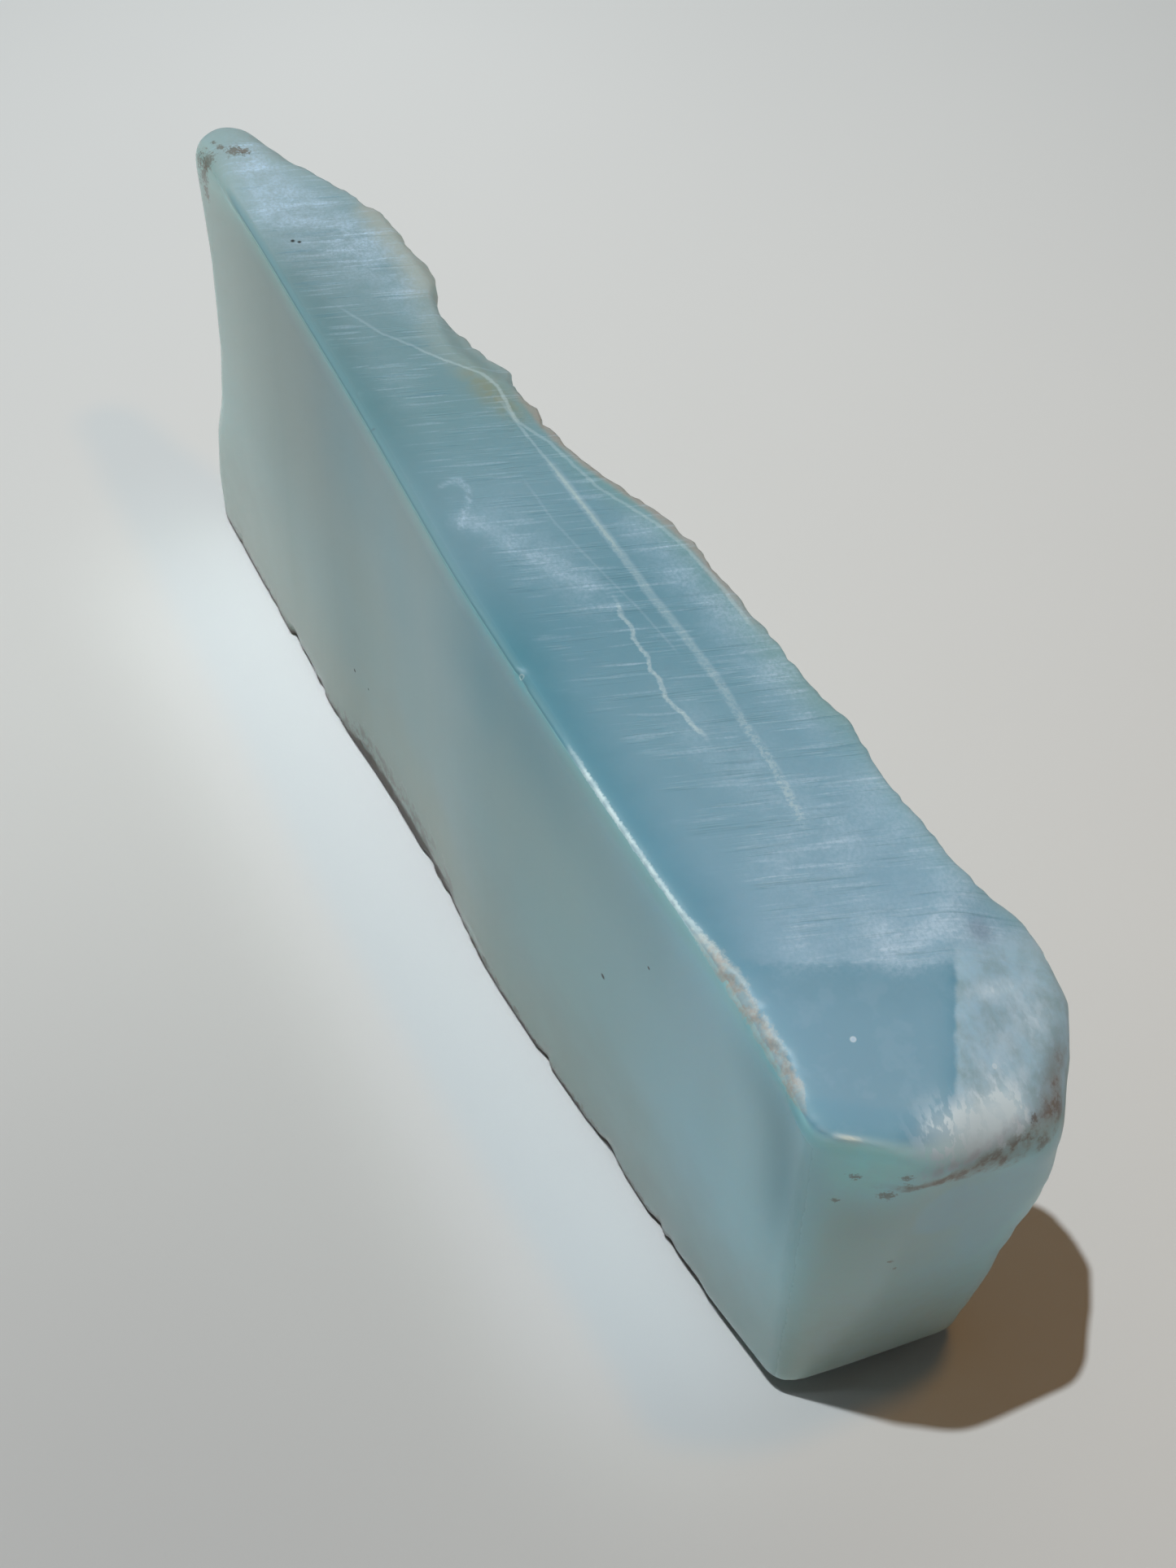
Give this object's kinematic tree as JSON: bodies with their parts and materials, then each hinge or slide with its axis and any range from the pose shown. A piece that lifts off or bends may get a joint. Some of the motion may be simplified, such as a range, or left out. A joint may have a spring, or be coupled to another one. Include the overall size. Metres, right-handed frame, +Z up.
{
  "type": "larimar sliver",
  "caption": "Long sawn sliver of translucent sky-blue stone with a smooth wall, a narrow sawn top and a rough broken side; stands on its narrow underside.",
  "frame": {"origin": "on the rest face, under the middle of the stone's bounding box", "axes": "+X along the stone to its thick end, +Y across to the broken side, +Z up"},
  "size_m": [0.0406, 0.0077, 0.0159],
  "materials": {
    "larimar": "translucent sky-blue stone, sawn and lightly worn, soft gloss"
  },
  "bodies": {
    "root": {"larimar_stone": "larimar"}
  },
  "joints": []
}
